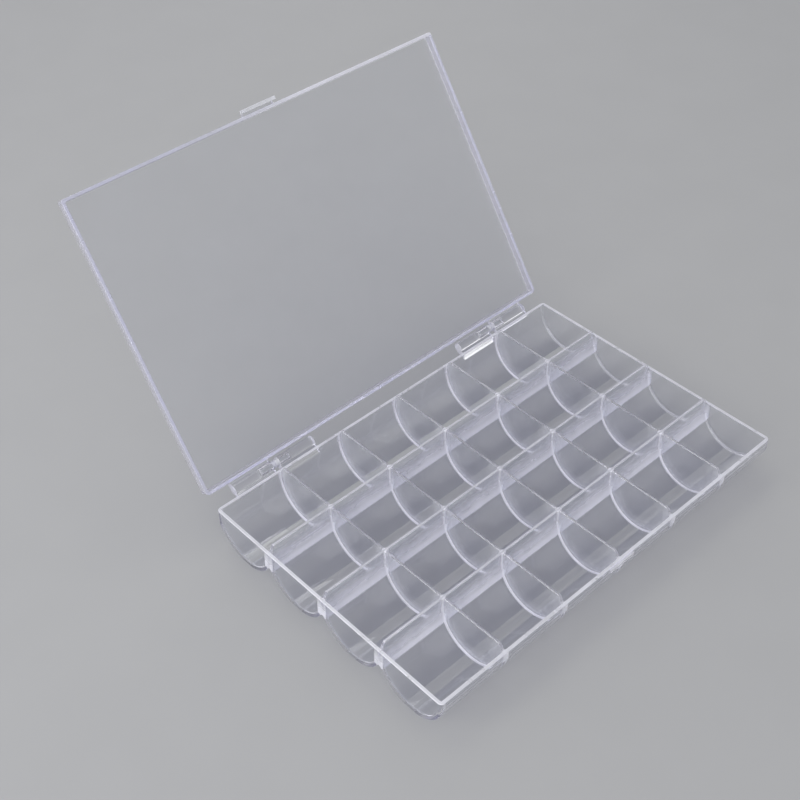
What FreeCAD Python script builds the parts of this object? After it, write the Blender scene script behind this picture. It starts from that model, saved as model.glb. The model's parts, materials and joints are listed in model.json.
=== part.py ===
import FreeCAD, Part
import math
import os

# A clear bobbin box: a tray of half-round troughs cut into cells, a shallow hinged lid and two hinge pins.
# Millimetres. -Y is the front, +Y the hinge side and +Z up; the box stands on z = 0 with its lid open.

# Outline shared by the tray and the lid
box_length = 192.0
box_width = 128.0
corner_radius = 1.8
wall = 1.3

# Cells
cells_long = 6
cells_wide = 4
divider = 1.1
rib = 1.2
cell_fillet = 0.8
rim_above_troughs = 2.2
rim_round = 0.35
divider_rise = 3.0
divider_slope = 1.35
divider_round = 1.0
divider_chamfer = 0.25

# Underside: each trough stands on a flat foot
foot_width = 5.0
foot_round = 6.0
valley_fillet = 1.0
end_round = 0.6

# Lid
panel = 1.2
lid_open_angle = 124.0
seat_gap = 0.15
head_gap = 0.25
skirt_gap = 0.35
lid_front_radius = 1.0
lid_inner_radius = 0.8
lid_round = 0.7
skirt_round = 0.25
ceiling_fillet = 0.5

# Catch at the front: a ledge on the tray and a hooked tab on the lid
ledge_length = 13.8
ledge_reach = 1.0
ledge_thickness = 1.2
ledge_below_rim = 0.25
ledge_round = 0.6
tab_length = 16.6
tab_taper = 0.6
tab_round = 0.3
lip = 1.4
lip_overlap = 0.45
catch_gap = 0.25

# Hinges: the tray's lugs stand inside the lid's lugs, with a pin through each pair
axis_behind_wall = 3.4
axis_above_rim = 0.5
barrel_radius = 2.2
hinge_from_end = 32.5
lug_spacing = 3.0
tray_lug_length = 19.0
lid_lug_length = 20.0
boss_radius = 1.65
boss_gap = 0.4
lug_round = 0.3
pin_radius = 1.0
pin_length = 15.0
pin_round = 0.7
pin_fit = 0.02
pin_clearance = 0.05
pin_end_gap = 0.3
tray_arm_drop = 0.3
tray_arm_depth = 4.5
tray_arm_angle = 60.0
lid_arm_rise = 0.75
lid_arm_step = 0.3
lid_arm_hollow = 0.5
stop_gap = 0.2
stop_top = 0.3
stop_bottom = 1.9
root = 0.6

# Sizes that follow from those above
cell_length = (box_length - 2 * wall - (cells_long - 1) * divider) / cells_long
cell_width = (box_width - 2 * wall - (cells_wide - 1) * rib) / cells_wide
pitch_long = cell_length + divider
pitch_wide = cell_width + rib
trough_radius = cell_width / 2
shell_radius = trough_radius + wall
foot_angle = math.asin(foot_width / 2 / (shell_radius - foot_round))
trough_z = foot_round + (shell_radius - foot_round) * math.cos(foot_angle)
rim_z = trough_z + rim_above_troughs
divider_top = rim_z + divider_rise
lid_bottom = rim_z + seat_gap
ceiling = divider_top + head_gap
lid_top = ceiling + panel
front = -box_width / 2
back = box_width / 2
axis_y = back + axis_behind_wall
axis_z = rim_z + axis_above_rim
hinge_centre = box_length / 2 - hinge_from_end
row_centres = [(k - (cells_wide - 1) / 2) * pitch_wide for k in range(cells_wide)]
column_centres = [(k - (cells_long - 1) / 2) * pitch_long for k in range(cells_long)]

vector = FreeCAD.Vector
along_x = vector(1, 0, 0)


def same(a, b):
    return abs(a - b) < 1e-6


def block(x0, x1, y0, y1, z0, z1):
    return Part.makeBox(x1 - x0, y1 - y0, z1 - z0, vector(x0, y0, z0))


def rod(radius, x0, x1):
    """A round bar on the hinge axis."""
    return Part.makeCylinder(radius, x1 - x0, vector(x0, axis_y, axis_z), along_x)


def upright_edges(solid):
    """The edges of a solid that run straight up."""
    ends = [(e, e.Vertexes[0].Point, e.Vertexes[-1].Point) for e in solid.Edges]
    return [e for e, a, b in ends if same(a.x, b.x) and same(a.y, b.y)]


def edges_at(solid, z):
    """The edges of a solid that lie in one level plane."""
    return [e for e in solid.Edges if same(e.BoundBox.ZMin, z) and same(e.BoundBox.ZMax, z)]


def rounded_block(length, width, z0, z1, back_radius, front_radius):
    """A block about the tray's middle with its upright edges rounded, at the back and at the front."""
    solid = block(-length / 2, length / 2, -width / 2, width / 2, z0, z1)
    for radius, side in ((back_radius, 1), (front_radius, -1)):
        solid = solid.makeFillet(radius, [e for e in upright_edges(solid) if e.BoundBox.YMin * side > 0])
    return solid


def line(a, b):
    return Part.LineSegment(vector(0, *a), vector(0, *b)).toShape()


def arc(a, through, b):
    return Part.Arc(vector(0, *a), vector(0, *through), vector(0, *b)).toShape()


def bow(centre, radius, start, end):
    """An arc in Y and Z by its centre, its radius and two angles from straight down."""
    angles = (start, (start + end) / 2, end)
    return arc(*[(centre[0] + radius * math.sin(a), centre[1] - radius * math.cos(a)) for a in angles])


def extruded(edges, x0, x1):
    """A solid that keeps one outline, drawn in Y and Z, from x0 to x1."""
    face = Part.Face(Part.Wire(Part.sortEdges(edges)[0]))
    solid = face.extrude(vector(x1 - x0, 0, 0))
    solid.translate(vector(x0, 0, 0))
    return solid


def outlined(points, x0, x1):
    """The same for an outline of straight lines."""
    return extruded([line(a, b) for a, b in zip(points, points[1:] + points[:1])], x0, x1)


def at_back(points):
    """Points given behind the back wall and above the rim, in Y and Z."""
    return [(back + y, rim_z + z) for y, z in points]


def scalloped_outline():
    """The outside of the tray in Y and Z: upright walls, round troughs on flat feet, filleted valleys."""
    valley_angle = math.asin(pitch_wide / 2 / (shell_radius + valley_fillet))
    valley_z = trough_z - (shell_radius + valley_fillet) * math.cos(valley_angle)
    edges = [line((y, trough_z), (y, rim_z)) for y in (front, back)]
    edges.append(line((front, rim_z), (back, rim_z)))
    for centre in row_centres:
        edges.append(line((centre - foot_width / 2, 0), (centre + foot_width / 2, 0)))
        for side, outermost in ((-1, row_centres[0]), (1, row_centres[-1])):
            reach = math.pi / 2 if centre == outermost else valley_angle
            foot_edge = centre + side * foot_width / 2
            edges.append(bow((foot_edge, foot_round), foot_round, 0, side * foot_angle))
            edges.append(bow((centre, trough_z), shell_radius, side * foot_angle, side * reach))
    for centre in row_centres[1:]:
        valley = (centre - pitch_wide / 2, valley_z)
        edges.append(bow(valley, valley_fillet, math.pi - valley_angle, math.pi + valley_angle))
    return edges


def end_edges(solid, top):
    """The edges around both ends of an extruded solid, without those along its level top."""
    boxes = [(e, e.BoundBox) for e in solid.Edges]
    return [e for e, b in boxes if same(b.XLength, 0) and not same(b.ZMin, top)]


def cell_hollow():
    """The space of one cell about x = 0, y = 0: rounded ends, open top and a chamfered mouth."""
    top = divider_top + wall
    a, b = -trough_radius, trough_radius
    edges = [line((y, trough_z), (y, top)) for y in (a, b)]
    edges.append(line((a, top), (b, top)))
    edges.append(bow((0, trough_z), trough_radius, -math.pi / 2, math.pi / 2))
    solid = extruded(edges, -cell_length / 2, cell_length / 2)
    solid = solid.makeFillet(cell_fillet, end_edges(solid, top))
    mouth = rounded_block(
        cell_length + 2 * divider_chamfer,
        cell_width + 2 * divider_chamfer,
        divider_top - divider_chamfer,
        top,
        cell_fillet + divider_chamfer,
        cell_fillet + divider_chamfer,
    )
    mouth = mouth.makeChamfer(divider_chamfer, edges_at(mouth, divider_top - divider_chamfer))
    return solid.fuse(mouth)


def raised_grid():
    """The block that the ribs and dividers are cut from, above the rim, with sloping rounded sides."""
    at_rim = wall + skirt_gap
    below_rim = at_rim - divider_slope * wall / divider_rise
    corners = []
    for inset, z in ((below_rim, rim_z - wall), (at_rim + divider_slope, divider_top)):
        x, y = box_length / 2 - inset, box_width / 2 - inset
        ring = [vector(-x, -y, z), vector(x, -y, z), vector(x, y, z), vector(-x, y, z)]
        corners.append(Part.makePolygon(ring + ring[:1]))
    solid = Part.makeLoft(corners, True, True)
    return solid.makeFillet(divider_round, edges_at(solid, divider_top))


def rounded_ends(solid, radius):
    """A solid along X with the edges around both of its ends rounded."""
    return solid.makeFillet(radius, [e for e in solid.Edges if same(e.BoundBox.XLength, 0)])


def both_sides(solid):
    """A solid on the right and its mirror image on the left."""
    return [solid, solid.mirror(vector(0, 0, 0), along_x)]


def opened(solid, angle):
    """A copy swung open about the hinge axis."""
    turned = solid.copy()
    turned.rotate(vector(0, axis_y, axis_z), along_x, -angle)
    return turned


# Where the lugs, bosses and pins lie along the right-hand hinge
tray_lug_end = hinge_centre - lug_spacing / 2
tray_lug_start = tray_lug_end - tray_lug_length
lid_lug_start = hinge_centre + lug_spacing / 2
lid_lug_end = lid_lug_start + lid_lug_length
pin_start = hinge_centre - pin_length / 2
pin_end = hinge_centre + pin_length / 2

# Tray
body = extruded(scalloped_outline(), -box_length / 2, box_length / 2)
body = body.makeFillet(end_round, end_edges(body, rim_z))
outline = rounded_block(box_length, box_width, -wall, rim_z + wall, corner_radius, corner_radius)
body = body.common(outline)
body = body.makeFillet(rim_round, edges_at(body, rim_z))
ledge_top = rim_z - ledge_below_rim
ledge_bottom = ledge_top - ledge_thickness
half_ledge = ledge_length / 2
ledge = block(-half_ledge, half_ledge, front - ledge_reach, front + root, ledge_bottom, ledge_top)
outer_edges = [e for e in upright_edges(ledge) if e.BoundBox.YMax < front]
ledge = ledge.makeFillet(ledge_round, outer_edges)
arm_angle = math.radians(tray_arm_angle)
arm_tip_y = axis_behind_wall + barrel_radius * math.cos(arm_angle)
arm_tip_z = axis_above_rim - barrel_radius * math.sin(arm_angle)
tray_arm = at_back([
    (-root, -tray_arm_drop),
    (axis_behind_wall, -tray_arm_drop),
    (arm_tip_y, arm_tip_z),
    (-root, -tray_arm_depth),
])
tray_lug = outlined(tray_arm, tray_lug_start, tray_lug_end)
tray_lug = tray_lug.fuse(rod(barrel_radius, tray_lug_start, tray_lug_end)).removeSplitter()
tray_lug = rounded_ends(tray_lug, lug_round)
tray_lug = tray_lug.fuse(rod(boss_radius, tray_lug_end, hinge_centre - boss_gap / 2))
tray_lug = tray_lug.cut(rod(pin_radius + pin_fit, pin_start - pin_end_gap, hinge_centre))
cell = cell_hollow()
cells = [cell.translated(vector(x, y, 0)) for x in column_centres for y in row_centres]
tray = body.fuse([raised_grid()]).cut(cells)
tray = tray.fuse([ledge] + both_sides(tray_lug)).removeSplitter()

# Lid, built shut and then swung open
lid = rounded_block(box_length, box_width, lid_bottom, lid_top, corner_radius, lid_front_radius)
lid = lid.makeFillet(lid_round, edges_at(lid, lid_top))
inside = rounded_block(
    box_length - 2 * wall,
    box_width - 2 * wall,
    lid_bottom - wall,
    ceiling,
    lid_inner_radius,
    lid_inner_radius,
)
inside = inside.makeFillet(ceiling_fillet, edges_at(inside, ceiling))
lid = lid.cut(inside)
lid = lid.makeFillet(skirt_round, edges_at(lid, lid_bottom))
tab_reach = ledge_reach + catch_gap + lip
tab_end = front - tab_reach
lip_bottom = ledge_top - lip_overlap
half_tab = tab_length / 2
half_lip = half_tab - tab_taper
tab_corners = [
    vector(-half_tab, front + root, ceiling),
    vector(half_tab, front + root, ceiling),
    vector(half_lip, tab_end, ceiling),
    vector(-half_lip, tab_end, ceiling),
]
tab = Part.Face(Part.makePolygon(tab_corners + tab_corners[:1])).extrude(vector(0, 0, panel))
tab = tab.fuse(block(-half_lip, half_lip, tab_end, tab_end + lip, lip_bottom, lid_top)).removeSplitter()
tab = tab.makeFillet(tab_round, [e for e in edges_at(tab, lid_top) if e.BoundBox.YMin < front])
shut_top = lid_top - rim_z
arm_top = axis_above_rim + barrel_radius
arm_low, arm_mid, arm_high, arm_root, arm_foot, arm_under = at_back([
    (axis_behind_wall, arm_top),
    (axis_behind_wall / 2 - lid_arm_hollow / 2, (arm_top + shut_top - lid_arm_step) / 2 - lid_arm_hollow),
    (0, shut_top - lid_arm_step),
    (-root, shut_top - lid_arm_step),
    (-root, lid_arm_rise),
    (axis_behind_wall, lid_arm_rise),
])
lid_arm = [arc(arm_low, arm_mid, arm_high), line(arm_high, arm_root), line(arm_root, arm_foot)]
lid_arm += [line(arm_foot, arm_under), line(arm_under, arm_low)]
stop = at_back([
    (stop_gap, -stop_top),
    (stop_gap, -stop_bottom),
    (axis_behind_wall, axis_above_rim - barrel_radius),
    (axis_behind_wall, axis_above_rim),
])
lid_lug = extruded(lid_arm, lid_lug_start, lid_lug_end)
lid_lug = lid_lug.fuse(rod(barrel_radius, lid_lug_start, lid_lug_end))
lid_lug = lid_lug.fuse(opened(outlined(stop, lid_lug_start, lid_lug_end), -lid_open_angle)).removeSplitter()
lid_lug = rounded_ends(lid_lug, lug_round)
lid_lug = lid_lug.fuse(rod(boss_radius, hinge_centre + boss_gap / 2, lid_lug_start))
lid_lug = lid_lug.cut(rod(pin_radius + pin_clearance, hinge_centre, pin_end + pin_end_gap))
lid = lid.fuse([tab] + both_sides(lid_lug)).removeSplitter()
lid = opened(lid, lid_open_angle)

# Hinge pins: a close fit in the tray's lugs, free in the lid's
pin = rounded_ends(rod(pin_radius, pin_start, pin_end), pin_round)
pin_right, pin_left = both_sides(pin)

pieces = {"tray": tray, "lid": lid, "hinge_pin_left": pin_left, "hinge_pin_right": pin_right}

# The frame's origin is on the floor under the middle of the open box
extent = Part.makeCompound(list(pieces.values())).optimalBoundingBox(False)
to_middle = vector(0, -(extent.YMin + extent.YMax) / 2, 0)

os.makedirs("parts", exist_ok=True)
for name, shape in pieces.items():
    solids = Part.makeCompound(shape.Solids)
    solids.translated(to_middle).exportStep(os.path.join("parts", name + ".step"))
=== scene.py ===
import bpy
import json
import math
from mathutils import Matrix, Vector


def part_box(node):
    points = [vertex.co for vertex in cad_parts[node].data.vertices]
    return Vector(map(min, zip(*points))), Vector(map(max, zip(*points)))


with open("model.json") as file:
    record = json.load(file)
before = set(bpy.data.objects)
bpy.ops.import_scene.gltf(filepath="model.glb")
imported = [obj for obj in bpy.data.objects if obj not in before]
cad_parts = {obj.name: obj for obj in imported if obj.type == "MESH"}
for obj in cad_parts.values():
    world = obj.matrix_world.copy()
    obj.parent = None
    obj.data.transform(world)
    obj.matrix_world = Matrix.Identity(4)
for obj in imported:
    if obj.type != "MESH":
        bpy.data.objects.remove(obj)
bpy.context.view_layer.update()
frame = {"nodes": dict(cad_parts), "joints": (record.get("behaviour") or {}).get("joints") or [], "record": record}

# Places read from the frame, in metres: the hinge axis, how far the lid turns, the cells and the pins
hinge = Vector(frame["joints"][0]["pos_m"])
shut_angle = math.radians(frame["joints"][0]["range_deg"][1])
cells = {}
for opening in frame["record"]["physics"]["openings"]:
    low, high = (Vector(corner) for corner in opening["box_m"])
    cells[opening["name"]] = (low + high) / 2
cells_long, cells_wide = 6, 4
pitch_x = (cells["cell_2_1"] - cells["cell_1_1"]).x
pitch_y = (cells["cell_1_2"] - cells["cell_1_1"]).y
tray_middle = sum(cells.values(), Vector()) / len(cells)
tray_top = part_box("tray")[1][2]
pin_start, pin_end = (corner[0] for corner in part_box("hinge_pin_right"))
pin_place = (pin_start + pin_end) / 2
pin_half = (pin_end - pin_start) / 2

# The tray's walls, with heights and drops from the axes of its troughs
wall = 0.0013
rib_half = 0.0006
divider_half = 0.00055
root_fillet = 0.0008
rim_height = 0.0022
top_height = 0.0052
web_drop = 0.0065
web_reach = 0.0022
valley_drop = 0.0058
valley_reach = 0.0012
ledge_edge = 0.0002
half_length = cells_long / 2 * pitch_x - divider_half + wall
half_width = cells_wide / 2 * pitch_y - rib_half + wall
trough_radius = pitch_y / 2 - rib_half
trough_axis = Vector((tray_middle.x, tray_middle.y, tray_top - top_height))

# The lid's skirt and tab, as they lie when it is shut
lid_rim = 0.00235
lid_shoulder = 0.0060
tab_lip = 0.0012
tab_reach = 0.00265
half_tab = 0.0083
tab_taper = 0.0006

# The hinges' lugs and pins
half_lug_spacing = 0.0015
half_tray_lug = 0.0095
half_lid_lug = 0.0100
lug_round = 0.0003
pin_round = 0.0007

# Where the haze and the painted glow start, fade and end
soft_edge = 0.0002
skin = 0.0001
margin = 0.0003
rim_fade = 0.0006
divider_fade = 0.008
trough_low = -0.012
trough_high = 0.004
end_high = -0.004
painted_highlight_left = -0.07
painted_highlight_right = 0.03

# How cloudy or how brightly painted each place is, from 0 for clear to 1 for white; a pair is the two ends of a
# fade
# Most of these are painted glow and highlights on edges, roots and outlines; the dividers and webs are part haze,
# part painted glow
divider_haze_and_glow_fade = (0.30, 0.05)
root_painted_glow = (1.0, 0.7)
web_haze_and_glow_fade = (0.95, 0.12)
corner_painted_glow = 0.5
top_painted_glow = (0.18, 0.5)
rim_painted_glow = 0.8
ledge_painted_glow = 0.4
end_painted_glow = (0.4, 0.0)
lug_painted_glow = 0.6
skirt_painted_glow = (0.38, 0.6)
shoulder_painted_glow = (0.0, 0.4)
front_painted_highlight = (0.1, 0.9)
lip_lighter = 0.5
lip_edge_painted_highlight = 0.85
tab_side_painted_highlight = 0.5
pin_end_painted_glow = (0.02, 0.5)

# Colours of the haze and of the painted glow and highlights
tray_haze_and_glow_white = (0.90, 0.90, 1.0)
painted_highlight_white = (0.92, 0.92, 1.0)
skirt_painted_glow_mauve = (0.36, 0.33, 0.50)
edge_painted_glow_lavender = (0.56, 0.56, 0.86)
lighter_lip_grey = (0.60, 0.63, 0.64)

# Clear polystyrene
plastic_ior = 1.59
plastic_tint = (0.82, 0.80, 1.0)
plastic_density = 28.0
clean_colour = (0.985, 0.99, 1.0)
smudged_colour = (0.955, 0.965, 0.99)
shadow_colour = (0.90, 0.90, 0.92)
shadow_edge_colour = (0.66, 0.67, 0.72)
trapped_depth = 3.5
smudge_scale = 38.0
cloud_scale = 160.0
wave_scale = 22.0
wave_strength = 0.35
wave_height = 0.0004
streak_stretch = (90, 420, 60)

# Fine scratches: their stretch, and each set's turn and how rare it is
scratch_stretch = (12, 1500, 1500)
scratch_sets = (((0.2, 0.5, 0.4), 0.73), ((1.1, -0.3, -0.7), 0.74))

# The camera, as the photo's straight edges give it
camera_target = hinge + Vector((0.0008, -0.0069, -0.0005))
camera_azimuth = math.radians(-42.3)
camera_elevation = math.radians(42.36)
camera_roll = math.radians(-1.08)
camera_distance = 0.5716
camera_lens = 59.4
sensor = 36.0
clip_start = 0.01

# The floor, painted paler far away to make up for the lamps' light falling off there
floor_colour = (0.50, 0.503, 0.515)
far_floor_painted_light_colour = (0.92, 0.925, 0.94)
floor_half = 15.0
near_floor_end = 0.7
far_floor_start = 2.5

# The surround and the soft lamps: place and size in metres, power in watts and spread in degrees
surround_colour = (0.97, 0.98, 1.0)
surround_strength = (0.42, 0.34)
surround_top = 0.7
softboxes = {
    "top_softbox": ((0.05, 0.45, 1.05), (0.7, 0.4), 2.0, 180.0),
    "front_softbox": ((-1.50, -1.40, 1.20), (3.4, 2.3), 22.0, 125.0),
    "left_softbox": ((-0.95, 0.30, 0.40), (0.35, 0.9), 3.0, 180.0),
    "back_softbox": ((0.70, 0.85, 0.40), (0.5, 1.0), 1.3, 180.0),
}
light_bounces = 32
transparent_bounces = 48


class Number:
    """A number that a node tree works out, so that a mask is written as a plain formula."""

    def __init__(self, tree, socket):
        self.tree = tree
        self.socket = socket

    def maths(self, operation, *others):
        return calculate(self.tree, operation, self, *others)

    def __add__(self, other):
        return self.maths("ADD", other)

    def __sub__(self, other):
        return self.maths("SUBTRACT", other)

    def __rsub__(self, other):
        return calculate(self.tree, "SUBTRACT", other, self)

    def __mul__(self, other):
        return self.maths("MULTIPLY", other)

    def __abs__(self):
        return self.maths("ABSOLUTE")

    def ramp(self, low, high, start, end):
        """The range low to high taken smoothly onto start to end, and kept within them."""
        inputs = {"Value": self, "From Min": low, "From Max": high, "To Min": start, "To Max": end}
        made = add_node(self.tree, "ShaderNodeMapRange", inputs, interpolation_type="SMOOTHSTEP")
        return Number(self.tree, made.outputs["Result"])

    def under(self, limit, soft=soft_edge):
        """A mask that is 1 up to a limit, with a soft edge."""
        return self.ramp(limit, limit + soft, 1.0, 0.0)

    def over(self, limit, soft=soft_edge):
        """A mask that is 1 from a limit on, with a soft edge."""
        return self.ramp(limit - soft, limit, 0.0, 1.0)


def add_node(tree, kind, inputs=None, **settings):
    """A new node with its settings, and its inputs given as values, numbers or sockets to link."""
    made = tree.nodes.new(kind)
    for name, value in settings.items():
        setattr(made, name, value)
    for name, value in (inputs or {}).items():
        if isinstance(value, Number):
            value = value.socket
        if isinstance(value, bpy.types.NodeSocket):
            tree.links.new(value, made.inputs[name])
        else:
            made.inputs[name].default_value = value
    return made


def calculate(tree, operation, *values):
    made = add_node(tree, "ShaderNodeMath", dict(enumerate(values)), operation=operation)
    return Number(tree, made.outputs[0])


def greatest(first, *others):
    for other in others:
        first = first.maths("MAXIMUM", other)
    return first


def axes_about(tree, point, origin):
    """The three coordinates of a point from an origin."""
    moved = add_node(tree, "ShaderNodeVectorMath", {0: point, 1: origin}, operation="SUBTRACT")
    split = add_node(tree, "ShaderNodeSeparateXYZ", {0: moved.outputs["Vector"]})
    return [Number(tree, socket) for socket in split.outputs]


def noise(tree, point, scale, detail=2.0, roughness=0.5):
    inputs = {"Vector": point, "Scale": scale, "Detail": detail, "Roughness": roughness}
    return Number(tree, add_node(tree, "ShaderNodeTexNoise", inputs).outputs["Fac"])


def stretched(tree, point, stretch, turn=(0, 0, 0)):
    """Coordinates turned and stretched, so that a texture on them draws long marks."""
    inputs = {"Vector": point, "Rotation": turn, "Scale": stretch}
    return add_node(tree, "ShaderNodeMapping", inputs).outputs["Vector"]


def mixed_colour(tree, factor, first, second):
    """A colour between two colours, each given as numbers or as a socket."""
    made = add_node(tree, "ShaderNodeMix", {"Factor": factor}, data_type="RGBA")
    for place, colour in ((6, first), (7, second)):
        if isinstance(colour, bpy.types.NodeSocket):
            tree.links.new(colour, made.inputs[place])
        else:
            made.inputs[place].default_value = (*colour, 1)
    return made.outputs[2]


def bumped(tree, height, strength, distance):
    inputs = {"Strength": strength, "Distance": distance, "Height": height}
    return add_node(tree, "ShaderNodeBump", inputs).outputs["Normal"]


def new_material(name):
    material = bpy.data.materials.new(name)
    material.use_nodes = True
    tree = material.node_tree
    tree.nodes.clear()
    output = add_node(tree, "ShaderNodeOutputMaterial")
    point = add_node(tree, "ShaderNodeTexCoord").outputs["Object"]
    return material, tree, output, point


def hairlines(tree, point):
    """A mask of fine scratches that run in two directions."""
    masks = []
    for turn, rarity in scratch_sets:
        streaks = noise(tree, stretched(tree, point, scratch_stretch, turn), 1.0, 1.0)
        masks.append(streaks.ramp(rarity, rarity + 0.03, 0.0, 1.0))
    return greatest(*masks)


def lug_ends(x, y, half_lug):
    """A mask of both ends of each hinge lug, behind the back wall."""
    from_middle = abs(abs(abs(x) - pin_place) - half_lug_spacing - half_lug)
    return y.over(half_width + margin) * from_middle.over(half_lug - skin, lug_round)


def tray_haze_and_painted_glow(tree, point):
    """How cloudy the tray is and where it is painted bright, at its walls, ribs, dividers and lugs, and the
    colour: painted glow along its rims, roots, valleys, crossings, tops, ledge, end walls and lugs, and part haze,
    part painted glow on its dividers and webs.
    """
    x, y, z = axes_about(tree, point, trough_axis)
    from_end = half_length - abs(x)
    from_side = half_width - abs(y)
    columns = from_end.over(wall + root_fillet)
    rows = from_side.over(2 * wall + root_fillet)
    from_divider = x.maths("PINGPONG", pitch_x / 2)
    from_rib = y.maths("PINGPONG", pitch_y / 2)
    across = pitch_y / 2 - from_rib
    below = z.maths("MINIMUM", 0.0)
    depth = trough_radius - (across * across + below * below).maths("SQRT")
    streaks = noise(tree, stretched(tree, point, streak_stretch), 1.0, 2.0).ramp(0.3, 0.7, 0.65, 1.0)
    inside = depth.over(-soft_edge) * columns
    # Part haze, part painted glow: the dividers are streaky and painted whiter towards their roots
    divider_haze_and_glow = from_divider.under(divider_half) * depth.ramp(0.0, divider_fade, *divider_haze_and_glow_fade)
    divider_haze_and_glow = divider_haze_and_glow * streaks * inside
    # Painted glow: a bright line along each divider's root fillet, brighter towards the bottom
    painted_root_glow = from_divider.under(divider_half + root_fillet) * depth.ramp(margin, root_fillet, 1.0, 0.0)
    painted_root_glow = painted_root_glow * z.ramp(trough_low, trough_high, *root_painted_glow) * inside
    # Part haze, part painted glow: each rib's web is painted brighter towards the bottom
    web_haze_and_glow = from_rib.under(web_reach) * z.over(-web_drop) * z.ramp(-web_drop, trough_high, *web_haze_and_glow_fade) * rows
    # Painted glow: a bright line along each valley under the ribs
    painted_valley_glow = from_rib.under(valley_reach) * z.under(-valley_drop) * rows
    # Painted glow: bright vertical lines where the dividers cross the ribs
    corners = from_divider.under(divider_half + root_fillet / 2)
    corners = corners * from_rib.under(rib_half + root_fillet / 2) * columns * rows * corner_painted_glow
    # Painted highlight: bright lines along the tops of the ribs and, fainter, of the dividers
    painted_top_glow = z.over(top_height - soft_edge) * from_rib.under(rib_half).ramp(0.0, 1.0, *top_painted_glow)
    inset = from_end.maths("MINIMUM", from_side)
    # Painted glow: the top of the outer wall is painted bright all round
    painted_rim_glow = inset.under(wall) * inset.over(0.0, skin) * z.over(rim_height - margin) * rim_painted_glow
    # Painted glow: the front ledge is painted brighter
    painted_ledge_glow = y.under(-half_width - ledge_edge) * ledge_painted_glow
    # Painted glow: a bright line along each end wall's inner fillet, fading out towards the top
    painted_end_glow = from_end.over(wall) * from_end.under(wall + root_fillet) * depth.over(-soft_edge)
    painted_end_glow = painted_end_glow * depth.under(root_fillet) * z.ramp(trough_low, end_high, *end_painted_glow)
    # Painted highlight: bright marks at both ends of each tray lug
    painted_lug_glow = lug_ends(x, y, half_tray_lug) * lug_painted_glow
    haze_and_painted_glow = greatest(divider_haze_and_glow, painted_root_glow, web_haze_and_glow, painted_valley_glow, corners, painted_top_glow, painted_rim_glow, painted_ledge_glow, painted_end_glow, painted_lug_glow)
    return haze_and_painted_glow, tray_haze_and_glow_white


def lid_painted_glow(tree, point):
    """Where the lid is painted bright, at its skirt, tab and lugs as they lie when shut, and in which colour:
    painted lavender glow on the skirt, painted highlights on the front edge, the tab's edges and the lug ends, and
    a lighter grey lip.
    """
    inputs = {"Vector": point, "Center": hinge, "Angle": shut_angle}
    shut = add_node(tree, "ShaderNodeVectorRotate", inputs, rotation_type="X_AXIS").outputs["Vector"]
    x, y, z = axes_about(tree, shut, trough_axis)
    inset = (half_length - abs(x)).maths("MINIMUM", half_width - abs(y))
    edge = z.ramp(lid_rim, lid_rim + rim_fade, 1.0, 0.0)
    # Painted highlight: the skirt is painted brighter near the lid's top
    painted_shoulder_glow = z.ramp(lid_shoulder, lid_shoulder + rim_fade, *shoulder_painted_glow)
    # Painted glow: the skirt is painted mauve, and lavender at its bottom edge, in the plastic's own tint
    painted_skirt_glow = inset.under(wall) * inset.over(0.0, skin)
    painted_skirt_glow = painted_skirt_glow * greatest(edge.ramp(0.0, 1.0, *skirt_painted_glow), painted_shoulder_glow)
    # Painted highlight: a white line along the skirt's front edge, fading out towards the left
    painted_front_highlight = y.under(wall - half_width) * z.under(lid_rim + margin)
    painted_front_highlight = painted_front_highlight * x.ramp(painted_highlight_left, painted_highlight_right, *front_painted_highlight)
    # The tab's lip is made a lighter grey
    lighter_lip = y.under(-half_width - tab_lip)
    # Painted highlight: white lines along the tab's outer edge and its sides
    painted_lip_edge_highlight = y.under(-half_width - tab_reach + soft_edge) * lip_edge_painted_highlight
    painted_tab_side_highlight = y.under(-half_width) * abs(x).over(half_tab - tab_taper - soft_edge) * tab_side_painted_highlight
    # Painted highlight: bright marks at both ends of each lid lug
    painted_lug_glow = lug_ends(x, y, half_lid_lug) * lug_painted_glow
    # The painted highlights, on the front edge, the tab's edges and the lug ends, are white
    painted_highlight = greatest(painted_front_highlight, painted_lip_edge_highlight, painted_tab_side_highlight, painted_lug_glow)
    colour = mixed_colour(tree, edge, skirt_painted_glow_mauve, edge_painted_glow_lavender)
    colour = mixed_colour(tree, lighter_lip, colour, lighter_lip_grey)
    colour = mixed_colour(tree, painted_highlight, colour, painted_highlight_white)
    return greatest(painted_skirt_glow, lighter_lip * lip_lighter, painted_highlight), colour


def pin_painted_end_glow(tree, point):
    """Painted glow at a hinge pin's rounded ends, and its colour."""
    x, _, _ = axes_about(tree, point, hinge)
    # Painted glow: the pin is painted white towards its rounded ends
    from_middle = abs(abs(x) - pin_place)
    return from_middle.ramp(pin_half - pin_round, pin_half, *pin_end_painted_glow), painted_highlight_white


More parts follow.
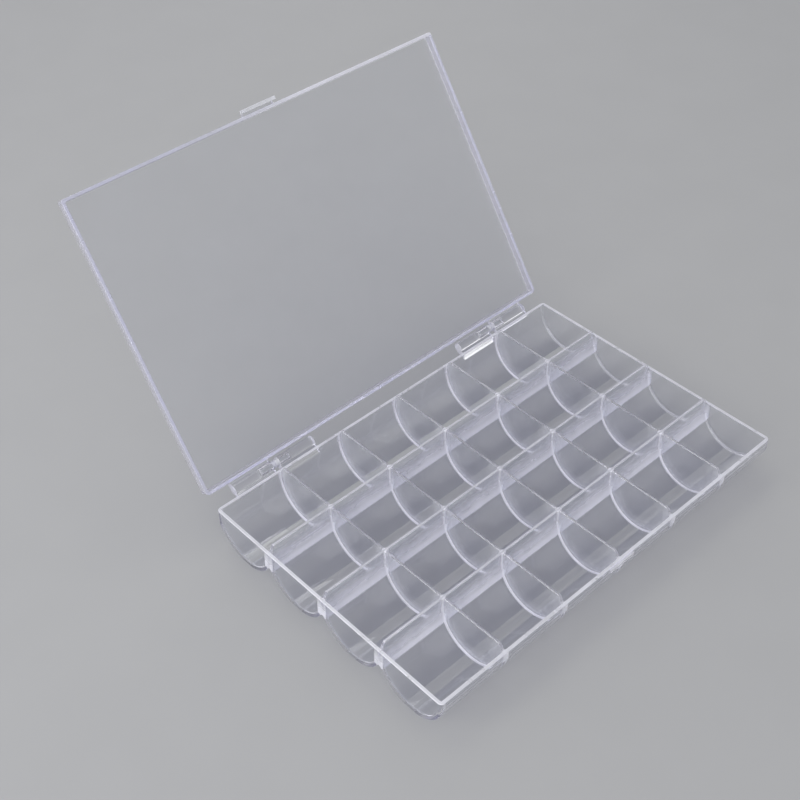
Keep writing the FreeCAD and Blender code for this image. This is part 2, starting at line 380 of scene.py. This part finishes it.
def clear_plastic(name, haze_and_glow_painter):
    """Clear polystyrene: faint smudges, waves and scratches, and painted white where the given haze and painted
    glow say.
    """
    material, tree, output, point = new_material(name)
    smudges = noise(tree, point, smudge_scale, 4.0, 0.6)
    scratches = hairlines(tree, point)
    # The mask is mostly painted glow and highlights and partly haze; where it is high, the plastic is painted
    # white and lets less through
    haze_and_painted_glow, haze_and_glow_colour = haze_and_glow_painter(tree, point)
    haze_and_painted_glow = haze_and_painted_glow * noise(tree, point, cloud_scale, 3.0).ramp(0.3, 0.7, 0.75, 1.0)
    clear_colour = mixed_colour(tree, smudges, clean_colour, smudged_colour)
    roughness = smudges.ramp(0.35, 0.75, 0.012, 0.05) + scratches * 0.06 + haze_and_painted_glow * 0.4
    waves = noise(tree, point, wave_scale, 1.0)
    plastic = add_node(tree, "ShaderNodeBsdfPrincipled", {
        "Base Color": mixed_colour(tree, haze_and_painted_glow, clear_colour, haze_and_glow_colour),
        "Roughness": roughness,
        "IOR": plastic_ior,
        "Transmission Weight": smudges.ramp(0.4, 0.8, 1.0, 0.985) - haze_and_painted_glow,
        "Normal": bumped(tree, waves, wave_strength, wave_height),
    })

    # Shadow and diffuse rays pass straight through, and so do rays caught for long inside the walls
    facing = add_node(tree, "ShaderNodeLayerWeight", {"Blend": 0.35}).outputs["Facing"]
    shade = mixed_colour(tree, facing, shadow_colour, shadow_edge_colour)
    path = add_node(tree, "ShaderNodeLightPath").outputs
    lighting = calculate(tree, "MAXIMUM", path["Is Shadow Ray"], path["Is Diffuse Ray"])
    trapped = calculate(tree, "GREATER_THAN", path["Ray Depth"], trapped_depth)
    passed = mixed_colour(tree, lighting, (1.0, 1.0, 1.0), shade)
    let_through = add_node(tree, "ShaderNodeBsdfTransparent", {"Color": passed})
    surface = add_node(tree, "ShaderNodeMixShader", {
        0: greatest(lighting, trapped),
        1: plastic.outputs["BSDF"],
        2: let_through.outputs["BSDF"],
    })
    inside = add_node(tree, "ShaderNodeVolumeAbsorption", {
        "Color": (*plastic_tint, 1),
        "Density": plastic_density,
    })
    tree.links.new(surface.outputs["Shader"], output.inputs["Surface"])
    tree.links.new(inside.outputs["Volume"], output.inputs["Volume"])
    return material


def floor_material(name):
    material, tree, output, point = new_material(name)
    shade = noise(tree, point, 30.0, 4.0).ramp(0.3, 0.7, 0.0, 1.0)
    paler = [value * 1.015 for value in floor_colour]
    near = mixed_colour(tree, shade, floor_colour, paler)
    # Painted light: the floor is made paler far from its middle, where the lamps' light falls off
    away = add_node(tree, "ShaderNodeVectorMath", {0: point}, operation="LENGTH").outputs["Value"]
    far = Number(tree, away).ramp(near_floor_end, far_floor_start, 0.0, 1.0)
    plain = add_node(tree, "ShaderNodeBsdfPrincipled", {
        "Base Color": mixed_colour(tree, far, near, far_floor_painted_light_colour),
        "Roughness": 0.7,
        "Specular IOR Level": 0.2,
    })
    tree.links.new(plain.outputs["BSDF"], output.inputs["Surface"])
    return material


def add_floor():
    mesh = bpy.data.meshes.new("floor")
    h = floor_half
    corners = [(-h, -h, 0), (h, -h, 0), (h, h, 0), (-h, h, 0)]
    mesh.from_pydata(corners, [], [(0, 1, 2, 3)])
    floor = bpy.data.objects.new("floor", mesh)
    floor.data.materials.append(floor_material("pale_floor"))
    bpy.context.scene.collection.objects.link(floor)


def add_softbox(name, place, size, power, spread):
    """A rectangular soft lamp that faces the middle of the tray."""
    lamp = bpy.data.lights.new(name, "AREA")
    lamp.shape = "RECTANGLE"
    lamp.size, lamp.size_y = size
    lamp.energy = power
    lamp.spread = math.radians(spread)
    softbox = bpy.data.objects.new(name, lamp)
    softbox.location = place
    aim = tray_middle - Vector(place)
    softbox.rotation_euler = aim.to_track_quat("-Z", "Y").to_euler()
    bpy.context.scene.collection.objects.link(softbox)


def add_world():
    """A plain grey surround, paler towards the horizon."""
    world = bpy.data.worlds.new("surround")
    world.use_nodes = True
    tree = world.node_tree
    tree.nodes.clear()
    direction = add_node(tree, "ShaderNodeTexCoord").outputs["Generated"]
    up = Number(tree, add_node(tree, "ShaderNodeSeparateXYZ", {0: direction}).outputs["Z"])
    background = add_node(tree, "ShaderNodeBackground", {
        "Color": (*surround_colour, 1),
        "Strength": up.ramp(0.0, surround_top, *surround_strength),
    })
    output = add_node(tree, "ShaderNodeOutputWorld")
    tree.links.new(background.outputs["Background"], output.inputs["Surface"])
    bpy.context.scene.world = world


def add_camera():
    back = Vector((
        math.sin(camera_azimuth) * math.cos(camera_elevation),
        -math.cos(camera_azimuth) * math.cos(camera_elevation),
        math.sin(camera_elevation),
    ))
    upright = (-back).to_track_quat("-Z", "Y").to_matrix().to_4x4()
    data = bpy.data.cameras.new("camera")
    data.lens = camera_lens
    data.sensor_width = sensor
    data.clip_start = clip_start
    camera = bpy.data.objects.new("camera", data)
    place = Matrix.Translation(camera_target + back * camera_distance)
    camera.matrix_world = place @ upright @ Matrix.Rotation(camera_roll, 4, "Z")
    bpy.context.scene.collection.objects.link(camera)
    bpy.context.scene.camera = camera


def dress(node, material):
    for slot in frame["nodes"][node].material_slots:
        slot.material = material


dress("tray", clear_plastic("clear_tray", tray_haze_and_painted_glow))
dress("lid", clear_plastic("clear_lid", lid_painted_glow))
clear_pin = clear_plastic("clear_pin", pin_painted_end_glow)
dress("hinge_pin_left", clear_pin)
dress("hinge_pin_right", clear_pin)

add_floor()
add_world()
for name, settings in softboxes.items():
    add_softbox(name, *settings)
add_camera()

scene = bpy.context.scene
scene.view_settings.view_transform = "Standard"
scene.cycles.caustics_refractive = False
scene.cycles.caustics_reflective = False
scene.cycles.max_bounces = light_bounces
scene.cycles.transmission_bounces = light_bounces
scene.cycles.transparent_max_bounces = transparent_bounces
